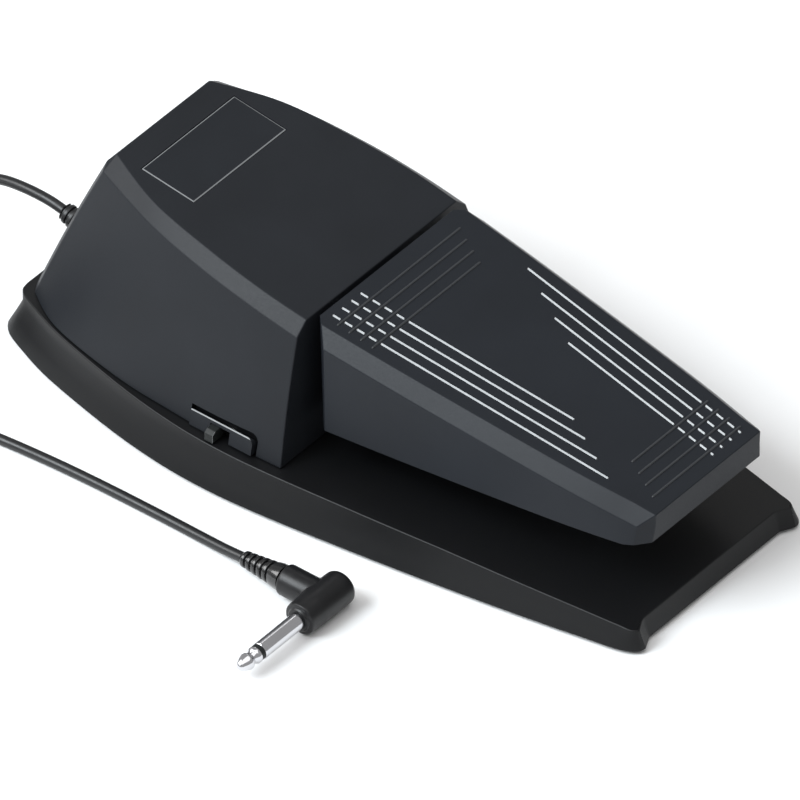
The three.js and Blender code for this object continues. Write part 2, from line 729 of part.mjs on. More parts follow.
function ribs() {
  const made = [];
  for (let i = 0; i < RIB_COUNT; i++) {
    const across = 135 - RIB_PITCH * i;
    made.push(rib([-35.6, across], [30.8 - 2.65 * i, across]));
    const nearX = -17.8 - 4.97 * i;
    const nearEnd = 50.5 - 8.5 * i;
    made.push(rib([nearX, 139.3], [nearX + 0.0575 * (139.3 - nearEnd), nearEnd]));
    const farX = 32.2 - 5.95 * i;
    const farStart = 107 - 10.6 * i;
    made.push(rib([farX, farStart], [farX - 0.0935 * (farStart - 6.9), 6.9]));
    const front = 9.4 + 5.07 * i;
    made.push(rib([-22.6 + 2.7 * i, front], [25.3 + 0.5 * i, front]));
  }
  return made;
}

const LEVER_SCREWS = [50, 110];

function leverTop(station) {
  return treadleTop(station) - WALL - BOSS_LENGTH - GAP;
}

function treadleShell() {
  const outer = loft(treadleRings(0));
  const inner = loft(treadleRings(WALL));
  let shell = outer.subtract(inner);
  shell = cut(shell, block([-19, 19], [126, 147], [20, 61.6]));
  for (const station of LEVER_SCREWS) {
    const foot = leverTop(station) + 3 * GAP;
    shell = shell.add(rod("z", 4, treadleTop(station) - 1 - foot, [0, station, foot]));
    shell = shell.subtract(rod("z", 1.8, 5.5, [0, station, foot - 0.5]));
  }
  return join(shell, ...ribs());
}

function treadleLever() {
  const bend = 152;
  const end = 207;
  const outside = [
    [32, leverTop(32)], [bend, leverTop(bend)], [163, leverTop(bend)], [174, TAIL_TOP], [end, TAIL_TOP],
    [end, 45], [172, 43], [150, 47.5], [128, 50.5], [40, 37.5], [32, 38],
  ];
  const inside = [
    [20, leverTop(20) - SHEET], [bend, leverTop(bend) - SHEET], [162.3, leverTop(bend) - SHEET],
    [173.2, TAIL_TOP - SHEET], [220, TAIL_TOP - SHEET], [220, 20], [20, 20],
  ];
  const reach = LEVER_HALF_WIDTH - SHEET;
  const channel = cut(
    sideProfile(outside, [-LEVER_HALF_WIDTH, LEVER_HALF_WIDTH]),
    sideProfile(inside, [-reach, reach]),
  );
  const bores = rod("x", 5, 60, [-30, PIVOT_STATION, PIVOT_HEIGHT], 32);
  const screwHoles = LEVER_SCREWS.map((station) => rod("z", 1.8, 12, [0, station, leverTop(station) - 6]));
  return cut(channel, bores, ...screwHoles);
}

place("treadle_shell", treadleShell(), "blackPlastic");
place("treadle_lever", treadleLever(), "zincSteel");
LEVER_SCREWS.forEach((station, i) => {
  const head = leverTop(station) - SHEET - GAP - 0.5;
  place("lever_screw_" + (i + 1), screw(1.5, 3.2, 2, 8), "zincSteel").position.set(0, station, head);
});
for (const [side, turn] of [["left", -1], ["right", 1]]) {
  const bush = place("hinge_bush_" + side, hingeBush(), "nylon");
  bush.rotation.y = (turn * Math.PI) / 2;
  bush.position.set(turn * (LEVER_HALF_WIDTH - SHEET - 0.3), PIVOT_STATION, PIVOT_HEIGHT);
}

// ---------- lead, coil and plug ----------
const coilInner = COIL_RADIUS - (COIL_COLUMNS / 2) * COIL_PITCH - CABLE_RADIUS;
const coilOuter = COIL_RADIUS + (COIL_COLUMNS / 2) * COIL_PITCH + CABLE_RADIUS;
const coilTop = COIL_LIFT + (COIL_LAYERS - 1) * COIL_PITCH + 2 * CABLE_RADIUS;

const LEAD_ROUTE = [
  [-12, 273.85, 30.8],
  [-12, 278, 31.6],
  [-12, 283, 32],
  [-12, 291, 31.8],
  [-12, 300, 30.4],
  [-12.3, 309, 27],
  [-13, 317, 21.5],
  [-14.2, 324, 14.5],
  [-16, 331, 8],
  [-19, 338.5, 3.6],
  [-24.5, 346, 2.1],
  [-33, 351, 2],
  [-43, 351.5, 2],
  [-52, 348.1, 2.1],
  [-59.5, 343.6, 2.3],
  [-65.3, 340.45, 2.5],
];

const RUN_ROUTE = [
  [-101.7, 294.8, 10.8],
  [-101.3, 287, 6.9],
  [-100.5, 279, 3.5],
  [-99.1, 271, 2.1],
  [-97.1, 261, 2],
  [-94.8, 248, 2],
  [-92.8, 235.7, 2],
  [-91, 214, 2],
  [-90.1, 192, 2],
  [-89.8, 168, 2],
  [-90, 152, 2.2],
  [-90.7, 140, 3],
  [-91.3, 130.9, 4.1],
];

function cableCoil() {
  return turned([
    [coilInner, COIL_LIFT],
    [coilOuter, COIL_LIFT],
    [coilOuter, coilTop],
    [coilInner, coilTop],
    [coilInner, COIL_LIFT],
  ], 40);
}

// A strap round the turns' cross-section, at the coil's +X side.
function coilTie() {
  const strap = 0.8;
  const width = 6;
  const [inside, outside, top] = [coilInner - 3 * GAP, coilOuter + 1.2 * GAP, coilTop + GAP];
  const outer = block([inside - strap, outside + strap], [-width / 2, width / 2], [0, top + strap]);
  return outer.subtract(block([inside, outside], [-width, width], [strap, top]));
}

function plugBoot() {
  const ringCount = 5;
  const pitch = 2.85;
  const profile = [[0, 0], [2.7, 0]];
  for (let i = 0; i < ringCount; i++) {
    const radius = 3 + 0.26 * i;
    const start = 0.3 + i * pitch;
    profile.push([radius, start], [radius, start + 1.75]);
    profile.push([radius - 0.7, start + 1.85], [radius - 0.7, start + pitch - 0.1]);
  }
  const collar = 0.3 + ringCount * pitch;
  profile.push([4.2, collar], [4.6, collar + 2.6], [4.6, 18.1], [0, 18.1]);
  return turned(profile, 16);
}

// The angled plug: a barrel that takes the lead, and a head across it along the jack's axis.
function plugBody() {
  const head = turned([
    [0, -14.4], [4.4, -14.4], [4.4, -13.6], [5.6, -13.6], [6.1, -13.1],
    [6.5, -7.2], [6.5, 7], [5.9, 8.7], [4.3, 9.8], [0, 10.2],
  ], 28);
  const headAcross = new THREE.Matrix4().makeRotationY(Math.PI / 2);
  const barrel = turned([[0, 2], [5.7, 2], [5.7, 16], [5, 17], [0, 17]], 24);
  const barrelBack = new THREE.Matrix4().makeRotationX(-Math.PI / 2);
  const socket = rod("x", 3, 4, [-16.8, 0, 0]);
  const placedHead = solid(geometryOf(head).applyMatrix4(headAcross));
  const placedBarrel = solid(geometryOf(barrel).applyMatrix4(barrelBack));
  return cut(join(placedHead, placedBarrel), socket);
}

const plug = new THREE.Group();
plug.position.set(PLUG_X, PLUG_STATION, PLUG_AXIS_HEIGHT);
pedal.add(plug);

// Pieces of the jack, turned about their own axis and then pointed along -X.
function jackPiece(name, profile, finish) {
  const piece = place(name, turned(profile, 24), finish, plug);
  piece.rotation.y = -Math.PI / 2;
  piece.position.set(-12.4, 0, 0);
}

place("plug_body", plugBody(), "blackPlastic", plug);
jackPiece("plug_sleeve", [
  [0, 0.9], [2.6, 0.9], [2.6, 2.3], [3.175, 2.7], [3.175, 22.4], [0, 22.4],
], "chrome");
jackPiece("plug_insulator", [[0, 22.7], [3.0, 22.7], [3.0, 23.9], [0, 23.9]], "rubber");
jackPiece("plug_tip", [
  [0, 24.2], [3.1, 24.2], [3.1, 25.4], [2.2, 26.6], [2.2, 27.6],
  [3.1, 28.7], [3.1, 29.6], [1.7, 32.8], [0.9, 33.6], [0, 33.6],
], "chrome");

const boot = place("plug_boot", plugBoot(), "rubber");
const bootStart = new THREE.Vector3(-91.3, 130.3, 4.1);
const bootEnd = new THREE.Vector3(PLUG_X, PLUG_STATION + 17.3, PLUG_AXIS_HEIGHT);
boot.position.copy(bootStart);
boot.quaternion.setFromUnitVectors(new THREE.Vector3(0, 0, 1), bootEnd.clone().sub(bootStart).normalize());

place("cable_lead", cableAlong(LEAD_ROUTE, 34), "rubber");
place("cable_run", cableAlong(RUN_ROUTE, 26), "rubber");
place("cable_coil", cableCoil(), "rubber").position.set(...COIL_CENTRE, 0);
place("coil_tie", coilTie(), "rubber").position.set(...COIL_CENTRE, 0);

pedal.position.y = -(BASE_BACK - EAR_REACH) / 2;

export default pedal;
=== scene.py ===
"""A sustain pedal with its lead and plug: the visual model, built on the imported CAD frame.

Shapes are worked out in millimetres, with "station" counted from the base's front wall towards the
back, as in part.mjs. point() turns them into the frame's metres.
"""

import json
import math

import bmesh
import bpy
from mathutils import Matrix, Vector


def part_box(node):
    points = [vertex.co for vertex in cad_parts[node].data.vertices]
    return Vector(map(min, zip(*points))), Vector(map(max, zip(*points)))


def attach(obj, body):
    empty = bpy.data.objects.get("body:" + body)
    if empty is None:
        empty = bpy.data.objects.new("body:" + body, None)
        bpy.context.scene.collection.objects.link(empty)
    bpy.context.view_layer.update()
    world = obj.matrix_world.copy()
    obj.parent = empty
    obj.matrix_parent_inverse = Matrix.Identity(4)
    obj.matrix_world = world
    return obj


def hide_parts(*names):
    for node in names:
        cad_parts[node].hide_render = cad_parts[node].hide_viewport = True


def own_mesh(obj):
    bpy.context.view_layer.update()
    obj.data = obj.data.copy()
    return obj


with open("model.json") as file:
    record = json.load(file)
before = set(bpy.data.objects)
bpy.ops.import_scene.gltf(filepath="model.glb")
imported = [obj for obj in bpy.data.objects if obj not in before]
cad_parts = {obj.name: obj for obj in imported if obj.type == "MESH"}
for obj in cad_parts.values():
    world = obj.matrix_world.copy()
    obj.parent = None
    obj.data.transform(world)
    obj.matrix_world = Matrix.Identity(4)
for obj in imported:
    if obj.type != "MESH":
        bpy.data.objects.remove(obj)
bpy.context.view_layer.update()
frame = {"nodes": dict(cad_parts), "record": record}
nodes = frame["nodes"]
scene = bpy.context.scene

MM = 0.001
BASE_BACK = 274.4
MIDDLE = 135.85  # station of the frame's origin
FOOT = 1.5
HOUSING_FRONT = 144.4
HOUSING_TOP_BACK = 239.7
BADGE_STATION = 217.5
BADGE_HALF = (24.8, 11.35)
BADGE_BORDER = 0.42
CABLE_RADIUS = 1.9
MERGE = 1e-7  # metres between points that count as one


def point(x, station, height):
    return Vector((x * MM, (station - MIDDLE) * MM, height * MM))


# ---------- camera ----------
AZIMUTH = math.radians(-51.1)
ELEVATION = math.radians(40.0)
SENSOR = 36.0
LENS = 1600.0  # all but parallel
FRAME_WIDTH = 0.2712  # metres across the picture, at the point aimed at
AIM = Vector((0.0, 0.00065, 0.011))
back = Vector(
    (
        math.sin(AZIMUTH) * math.cos(ELEVATION),
        -math.cos(AZIMUTH) * math.cos(ELEVATION),
        math.sin(ELEVATION),
    )
)
camera = bpy.data.objects.new("camera", bpy.data.cameras.new("camera"))
scene.collection.objects.link(camera)
camera.data.lens = LENS
camera.data.sensor_width = SENSOR
camera.data.clip_end = 60.0
camera.location = AIM + back * (FRAME_WIDTH * LENS / SENSOR)
camera.rotation_mode = "QUATERNION"
camera.rotation_quaternion = (-back).to_track_quat("-Z", "Y")
scene.camera = camera


# ---------- curves and outlines, in millimetres ----------
def spline(points, steps):
    """A Catmull-Rom curve through the points, sampled evenly in its parameter."""
    last = len(points) - 1
    made = []
    for k in range(steps + 1):
        at = last * k / steps
        i = min(int(at), last - 1)
        t = at - i
        p0, p1 = points[max(i - 1, 0)], points[i]
        p2, p3 = points[i + 1], points[min(i + 2, last)]
        sample = []
        for a, b, c, d in zip(p0, p1, p2, p3):
            v0, v1 = (c - a) / 2, (d - b) / 2
            cubic = (2 * b - 2 * c + v0 + v1) * t**3
            sample.append(cubic + (3 * (c - b) - 2 * v0 - v1) * t**2 + v0 * t + b)
        made.append(tuple(sample))
    return made


def bezier(a, b, c, steps):
    made = []
    for k in range(steps + 1):
        t = k / steps
        made.append(tuple((1 - t) ** 2 * p + 2 * t * (1 - t) * q + t * t * r for p, q, r in zip(a, b, c)))
    return made


def toward(a, b, distance):
    length = math.dist(a, b)
    return tuple(p + (q - p) * distance / length for p, q in zip(a, b))


def fillet(before, corner, after, size, steps=3):
    return bezier(toward(corner, before, size), corner, toward(corner, after, size), steps)


def inset_half(half, inset):
    """Half an outline moved inwards, corners mitred. The inset is a number or a function of station."""
    made = []
    for i, (x, y) in enumerate(half):
        before = half[i - 1] if i else (-half[0][0], half[0][1])
        after = half[i + 1] if i + 1 < len(half) else (-x, y)
        n1 = Vector((before[1] - y, x - before[0])).normalized()
        n2 = Vector((y - after[1], after[0] - x)).normalized()
        amount = inset(y) if callable(inset) else inset
        scale = amount / (1 + n1.dot(n2))
        made.append((x + (n1.x + n2.x) * scale, y + (n1.y + n2.y) * scale))
    return made


def at_height(half, height):
    return [(x, y, height(y) if callable(height) else height) for x, y in half]


def mix(a, b, t):
    return a + (b - a) * t


# ---------- heights shared with the CAD ----------
def deck_top(station):
    left = 1 - station / BASE_BACK
    return FOOT + 7.3 + 9.2 * (1 - left * left)


def housing_top(station):
    along = (station - HOUSING_FRONT) / (HOUSING_TOP_BACK - HOUSING_FRONT)
    return FOOT + mix(67.0, 80.5, along) + 0.7 * 4 * along * (1 - along)


def treadle_top(station):
    return FOOT + 47.1 + 0.1415 * station


def skirt_bottom(station):
    return FOOT + 35.8 - 0.059 * station


# ---------- materials ----------
NOISE_SPAN = (0.3, 0.7)  # where most of a noise texture's values lie


def surface(name, color, roughness, spread=0.12, grain=0.5, bump=0.15, metallic=0.0, coat=0.0, **more):
    """A node material with slow colour drift, fine grain in its roughness, and a moulded bump.

    spread is the share by which the colour drifts; grain is the size of the fine texture in
    millimetres; more sets sockets of the shader that are the same all over.
    """
    material = bpy.data.materials.new(name)
    material.use_nodes = True
    tree = material.node_tree
    tree.nodes.clear()
    link = tree.links.new
    output = tree.nodes.new("ShaderNodeOutputMaterial")
    shader = tree.nodes.new("ShaderNodeBsdfPrincipled")
    place = tree.nodes.new("ShaderNodeTexCoord")
    link(shader.outputs["BSDF"], output.inputs["Surface"])
    shader.inputs["Metallic"].default_value = metallic
    shader.inputs["Coat Weight"].default_value = coat
    for socket, value in more.items():
        shader.inputs[socket.replace("_", " ")].default_value = value

    def noise(scale, detail):
        made = tree.nodes.new("ShaderNodeTexNoise")
        made.inputs["Scale"].default_value = scale
        made.inputs["Detail"].default_value = detail
        link(place.outputs["Object"], made.inputs["Vector"])
        return made

    drift = noise(28.0, 4.0)
    ramp = tree.nodes.new("ShaderNodeValToRGB")
    ramp.color_ramp.elements[0].position = NOISE_SPAN[0]
    ramp.color_ramp.elements[1].position = NOISE_SPAN[1]
    ramp.color_ramp.elements[0].color = [c * (1 - spread) for c in color] + [1]
    ramp.color_ramp.elements[1].color = [min(1, c * (1 + spread)) for c in color] + [1]
    link(drift.outputs["Fac"], ramp.inputs["Fac"])
    link(ramp.outputs["Color"], shader.inputs["Base Color"])
    fine = noise(1000.0 / grain, 3.0)
    rough = tree.nodes.new("ShaderNodeMapRange")
    rough.inputs["From Min"].default_value = NOISE_SPAN[0]
    rough.inputs["From Max"].default_value = NOISE_SPAN[1]
    rough.inputs["To Min"].default_value = max(0.02, roughness - 0.05)
    rough.inputs["To Max"].default_value = min(1.0, roughness + 0.05)
    link(fine.outputs["Fac"], rough.inputs["Value"])
    link(rough.outputs["Result"], shader.inputs["Roughness"])
    relief = tree.nodes.new("ShaderNodeBump")
    relief.inputs["Strength"].default_value = bump
    relief.inputs["Distance"].default_value = 0.03 * grain * MM
    link(fine.outputs["Fac"], relief.inputs["Height"])
    link(relief.outputs["Normal"], shader.inputs["Normal"])
    return material


BODY = surface("moulded_body", (0.0106, 0.0121, 0.015), 0.45, Specular_IOR_Level=0.2)
BASE = surface("moulded_base", (0.0033, 0.0035, 0.0041), 0.42, Specular_IOR_Level=0.3)
TREADLE = surface("moulded_treadle", (0.0106, 0.0126, 0.0163), 0.42, Specular_IOR_Level=0.19)
# the ribs' colour is lighter than the treadle's, a painted highlight along the ribs
RIB = surface("moulded_rib", (0.02, 0.023, 0.027), 0.3, spread=0.08, grain=2.5, bump=0.02, coat=0.66)
BADGE = surface("badge", (0.0104, 0.0121, 0.0152), 0.5, grain=0.35, Specular_IOR_Level=0.2)
# painted highlight: a lighter colour on the badge's border, the switch plate's top edge and the knob's front
# edge
PAINTED_HIGHLIGHT = surface("painted_highlight", (0.17, 0.175, 0.18), 0.42, bump=0.05)
SWITCH = surface("switch_plastic", (0.011, 0.0125, 0.0125), 0.5, bump=0.1, Specular_IOR_Level=0.25)
GLOSS = surface(
    "plug_plastic", (0.0062, 0.0062, 0.007), 0.36, spread=0.1, grain=2.5, bump=0.02, Specular_IOR_Level=0.36
)
JACKET = surface("cable_jacket", (0.006, 0.0062, 0.007), 0.38, spread=0.15, grain=1.5, bump=0.05)
BOOT = surface("boot_plastic", (0.0045, 0.0046, 0.0052), 0.24, spread=0.1, grain=2.5, bump=0.02, coat=0.5)
RUBBER = surface("rubber", (0.009, 0.009, 0.0095), 0.8, spread=0.2, grain=0.4, bump=0.4)
NYLON = surface("nylon", (0.72, 0.69, 0.61), 0.45, spread=0.05, bump=0.1, Subsurface_Weight=0.1)
BOARD = surface("circuit_board", (0.02, 0.1, 0.045), 0.35, spread=0.1, bump=0.1, coat=0.3)
ZINC = surface("zinc_plate", (0.5, 0.51, 0.53), 0.36, spread=0.14, grain=0.9, bump=0.25, metallic=1.0)
STEEL = surface("bright_steel", (0.6, 0.6, 0.62), 0.24, spread=0.08, grain=0.6, bump=0.1, metallic=1.0)
CHROME = surface("chrome", (0.62, 0.62, 0.64), 0.12, spread=0.05, grain=1.2, bump=0.03, metallic=1.0)


# ---------- mesh helpers ----------
def add_object(name, data, material, body=None):
    obj = bpy.data.objects.new(name, data)
    scene.collection.objects.link(obj)
    data.materials.append(material)
    if body:
        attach(obj, body)
    return obj


def mesh_data(name, vertices, faces, smooth=True):
    """A mesh from millimetre points, with its normals facing out."""
    data = bpy.data.meshes.new(name)
    data.from_pydata([point(*v) for v in vertices], [], faces)
    grown = bmesh.new()
    grown.from_mesh(data)
    bmesh.ops.remove_doubles(grown, verts=grown.verts, dist=MERGE)
    bmesh.ops.dissolve_degenerate(grown, edges=grown.edges, dist=MERGE)
    bmesh.ops.recalc_face_normals(grown, faces=grown.faces)
    for face in grown.faces:
        face.smooth = smooth
    grown.to_mesh(data)
    grown.free()
    return data


def loft(name, rings, ear=0):
    """A closed mesh between half rings and their mirror images, as in part.mjs.

    The caps run across from each point to its mirror image; the first ear points form a cap of
    their own on each side.
    """
    half = len(rings[0])
    around = 2 * half
    vertices = []
    for ring in rings:
        vertices += ring + [(-x, y, z) for x, y, z in reversed(ring)]
    faces = []
    for level in range(len(rings) - 1):
        for i in range(around):
            a, b = level * around + i, level * around + (i + 1) % around
            faces.append((a, b, b + around, a + around))
    for start, turn in ((0, -1), (around * (len(rings) - 1), 1)):
        left = [start + around - 1 - i for i in range(half)]
        right = [start + i for i in range(half)]
        rungs = list(range(half))
        if ear:
            rungs = [0] + list(range(ear, half))
            faces.append(tuple(right[: ear + 1])[::turn])
            faces.append(tuple(left[: ear + 1])[::-turn])
        for i, j in zip(rungs, rungs[1:]):
            faces.append((right[i], right[j], left[j], left[i])[::turn])
    return mesh_data(name, vertices, faces)


def extrude(name, outline, axis, low, high):
    """A prism: the outline's points are [station, height] for axis x, [x, height] for axis y and
    [x, station] for axis z."""
    place = {
        "x": lambda p, q, at: (at, p, q),
        "y": lambda p, q, at: (p, at, q),
        "z": lambda p, q, at: (p, q, at),
    }[axis]
    count = len(outline)
    vertices = [place(p, q, at) for at in (low, high) for p, q in outline]
    faces = [tuple(range(count)), tuple(range(count, 2 * count))]
    faces += [(i, (i + 1) % count, count + (i + 1) % count, count + i) for i in range(count)]
    return mesh_data(name, vertices, faces, smooth=False)


def box_outline(p0, p1, q0, q1):
    return [(p0, q0), (p1, q0), (p1, q1), (p0, q1)]


def turned(name, profile, sides=48):
    """A turned piece about +Z, from [radius, height] points, in millimetres about the origin."""
    rings = []
    vertices = []
    for radius, height in profile:
        if radius < 1e-6:
            rings.append([len(vertices)] * sides)
            vertices.append((0, MIDDLE, height))
            continue
        rings.append([len(vertices) + k for k in range(sides)])
        for k in range(sides):
            angle = 2 * math.pi * k / sides
            vertices.append((radius * math.cos(angle), MIDDLE + radius * math.sin(angle), height))
    faces = []
    for low, high in zip(rings, rings[1:]):
        for k in range(sides):
            n = (k + 1) % sides
            face = [low[k], low[n], high[n], high[k]]
            faces.append(tuple(dict.fromkeys(face)))
    faces = [face for face in faces if len(face) > 2]
    return mesh_data(name, vertices, faces)


def evaluated(obj):
    """The object's mesh with its modifiers applied; the modifiers are then removed."""
    graph = bpy.context.evaluated_depsgraph_get()
    graph.update()
    data = bpy.data.meshes.new_from_object(obj.evaluated_get(graph))
    obj.modifiers.clear()
    obj.data = data
    return obj


def bevel(obj, width, angle=20.0, segments=3):
    modifier = obj.modifiers.new("round", "BEVEL")
    modifier.width = width * MM
    modifier.segments = segments
    modifier.limit_method = "ANGLE"
    modifier.angle_limit = math.radians(angle)
    modifier.use_clamp_overlap = True
    return evaluated(obj)


def cut(obj, *cutters, operation="DIFFERENCE"):
    for data in cutters:
        tool = bpy.data.objects.new("tool", data)
        scene.collection.objects.link(tool)
        modifier = obj.modifiers.new("cut", "BOOLEAN")
        modifier.operation = operation
        modifier.solver = "EXACT"
        modifier.object = tool
        evaluated(obj)
        bpy.data.objects.remove(tool)
    return obj


def settle(obj, angle=32.0):
    """Smooth shading with sharp edges kept, weighted so that flat faces stay flat."""
    obj.data.polygons.foreach_set("use_smooth", [True] * len(obj.data.polygons))
    obj.data.set_sharp_from_angle(angle=math.radians(angle))
    modifier = obj.modifiers.new("weigh", "WEIGHTED_NORMAL")
    modifier.keep_sharp = True
    modifier.weight = 80
    return evaluated(obj)


# ---------- the lead ----------
COIL_CENTRE = (-75.0, 311.0)
COIL_RADIUS = 20.9
COIL_PITCH = 3.9
COIL_LIFT = 1.1
COIL_LAYERS = 4
LEAD_ROUTE = [
    (-12, 273.85, 30.8),
    (-12, 278, 31.6),
    (-12, 283, 32),
    (-12, 291, 31.8),
    (-12, 300, 30.4),
    (-12.3, 309, 27),
    (-13, 317, 21.5),
    (-14.2, 324, 14.5),
    (-16, 331, 8),
    (-19, 338.5, 3.6),
    (-24.5, 346, 2.1),
    (-33, 350.8, 2),
    (-43, 351.3, 2),
    (-52, 348.1, 2.1),
    (-59.5, 343.6, 2.3),
    (-65.3, 340.45, 2.5),
]
RUN_ROUTE = [
    (-101.7, 294.8, 10.8),
    (-101.3, 287, 6.9),
    (-100.5, 279, 3.5),
    (-99.1, 271, 2.1),
    (-97.1, 261, 2),
    (-94.8, 248, 2),
    (-92.8, 235.7, 2),
    (-91, 214, 2),
    (-90.1, 192, 2),
    (-89.8, 168, 2),
    (-90, 152, 2.2),
    (-90.7, 140, 3),
    (-91.3, 130.9, 4.1),
]


def coil_points():
    """Flat spirals on each other: the first winds inwards, and each later one turns back."""
    outer = COIL_RADIUS + 1.5 * COIL_PITCH
    inner = COIL_RADIUS - 1.5 * COIL_PITCH
    low = COIL_LIFT + CABLE_RADIUS
    climb = 40.0
    made = []
    start = 100.0
    for layer in range(COIL_LAYERS):
        stop = start + 3 * 360.0 if layer else 2.5 * 360.0
        first, last = (outer, inner) if layer % 2 == 0 else (inner, outer)
        hold = 0.0 if layer == 0 else climb
        angle = start
        while angle < stop - 1e-6:
            done = max(0.0, (angle - start - hold) / (stop - start - hold))
            radius = mix(first, last, done)
            rise = 1.0
            if layer:
                part = min(1.0, (angle - start) / climb)
                rise = part * part * (3 - 2 * part)
            height = low + COIL_PITCH * (layer - 1 + rise if layer else 0)
            turn = math.radians(angle)
            x = COIL_CENTRE[0] + radius * math.cos(turn)
            made.append((x, COIL_CENTRE[1] + radius * math.sin(turn), height))
            angle += 10.0
        start = stop
    x = COIL_CENTRE[0] - outer
    made.append((x, COIL_CENTRE[1], low + (COIL_LAYERS - 1) * COIL_PITCH))
    return made


def cord_line():
    """The lead from the housing through the coil to the plug."""
    into = coil_points()
    leaving = [(-101.6, 303, 13.8)]
    ends = LEAD_ROUTE + into[:2]
    first = spline(ends, 12 * (len(ends) - 1))
    tail = into[-3:] + leaving + RUN_ROUTE
    last = spline(tail, 12 * (len(tail) - 1))
    return first[:-12] + into[1:-3] + last


data = bpy.data.curves.new("cable", "CURVE")
data.dimensions = "3D"
data.bevel_depth = CABLE_RADIUS * MM
data.bevel_resolution = 5
data.use_fill_caps = True
line = cord_line()
run = data.splines.new("POLY")
run.points.add(len(line) - 1)
for slot, place in zip(run.points, line):
    slot.co = (*point(*place), 1.0)
run.use_smooth = True
cable = add_object("cable", data, JACKET, "chassis")
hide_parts("cable_lead", "cable_coil", "cable_run")


# ---------- plug ----------
PLUG = Vector((-93.2, 94.0, 6.6))
JACK_START = PLUG.x - 12.4  # the jack's pieces are turned from here along -X


def aim(obj, direction, origin):
    """Puts a turned piece's axis along a direction, from a point in millimetres."""
    turn = Vector((0, 0, 1)).rotation_difference(Vector(direction)).to_matrix().to_4x4()
    obj.data.transform(Matrix.Translation(point(*origin)) @ turn)
    obj.data.update()
    return obj


def lathe(name, profile, direction, origin, material, body, sides=48):
    obj = add_object(name, turned(name, profile, sides), material)
    aim(obj, direction, origin)
    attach(obj, body)
    return settle(obj)


def arc(centre, radius, start, stop, steps=5):
    """Points of a profile's rounded corner, angles in degrees."""
    made = []
    for k in range(steps + 1):
        angle = math.radians(mix(start, stop, k / steps))
        made.append((centre[0] + radius * math.cos(angle), centre[1] + radius * math.sin(angle)))
    return made


def plug_body():
    """The moulded angle: a head across a barrel, melted together with a soft corner."""
    head = [(0, -14.4), (4.1, -14.4), (4.4, -14.1), (4.4, -13.6), (5.3, -13.6)]
    head += arc((5.6, -13.0), 0.5, -60, 0, 3)
    head += [(6.25, -10.2), (6.5, -6.7), (6.5, 6.2)]
    head += arc((3.6, 7.3), 2.9, 0, 90, 6)[1:]
    head += [(0, 10.2)]
    barrel = [(0, 1.0), (5.7, 1.0), (5.7, 16.0)] + arc((4.9, 16.2), 0.8, 0, 90, 4)
    barrel += [(0, 17.0)]
    obj = add_object("plug_angle", turned("head", head, 64), GLOSS)
    aim(obj, (1, 0, 0), PLUG)
    other = bpy.data.objects.new("tool", turned("barrel", barrel, 48))
    aim(other, (0, 1, 0), PLUG)
    cut(obj, other.data, operation="UNION")
    bpy.data.objects.remove(other)
    melt = obj.modifiers.new("melt", "REMESH")
    melt.mode = "VOXEL"
    melt.voxel_size = 0.24 * MM
    melt.use_smooth_shade = True
    soften = obj.modifiers.new("soften", "SMOOTH")
    soften.factor = 0.5
    soften.iterations = 10
    evaluated(obj)
    if not obj.data.materials:
        obj.data.materials.append(GLOSS)
    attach(obj, "chassis")
    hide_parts("plug_body")
    return obj


def plug_boot():
    start = Vector((-91.3, 130.3, 4.1))
    stop = Vector((PLUG.x, PLUG.y + 17.3, PLUG.z))
    profile = [(0, 0), (1.95, 0), (2.3, 0)] + arc((2.2, 0.5), 0.5, -60, 20, 3)
    for i in range(5):
        radius = 3.0 + 0.26 * i
        low = 0.35 + i * 2.85
        profile += [(radius - 0.8, low + 0.1)]
        profile += arc((radius - 0.4, low + 0.5), 0.4, -80, 0, 3)
        profile += arc((radius - 0.4, low + 1.3), 0.4, 0, 80, 3)
        profile += [(radius - 0.8, low + 1.8), (radius - 0.8, low + 2.75)]
    profile += [(4.0, 14.6), (4.3, 14.75), (4.75, 17.1), (4.75, 19.6), (0, 19.6)]
    obj = lathe("plug_strain_relief", profile, stop - start, start, BOOT, "chassis")
    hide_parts("plug_boot")
    return obj


def jack_piece(name, node, profile, material):
    obj = lathe(name, profile, (-1, 0, 0), (JACK_START, PLUG.y, PLUG.z), material, "chassis", 64)
    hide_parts(node)
    return obj


sleeve = jack_piece(
    "jack_sleeve",
    "plug_sleeve",
    [(0, 0.9), (2.6, 0.9), (2.6, 2.35), (3.0, 2.4), (3.175, 2.65), (3.175, 22.25), (3.05, 22.4), (0, 22.4)],
    CHROME,
)
ring = jack_piece(
    "jack_ring",
    "plug_insulator",
    [(0, 22.45), (2.95, 22.45), (2.95, 24.1), (0, 24.1)],
    SWITCH,
)
tip = jack_piece(
    "jack_tip",
    "plug_tip",
    [(0, 24.2), (3.0, 24.2), (3.1, 24.35), (3.1, 25.4), (2.9, 25.8), (2.3, 26.5), (2.1, 27.1)]
    + [(2.3, 27.7), (2.9, 28.3), (3.1, 28.8), (3.1, 29.5), (2.5, 31.2), (1.7, 32.7), (1.1, 33.3)]
    + [(0.5, 33.55), (0, 33.6)],
    CHROME,
)
angle_plug = plug_body()
boot = plug_boot()


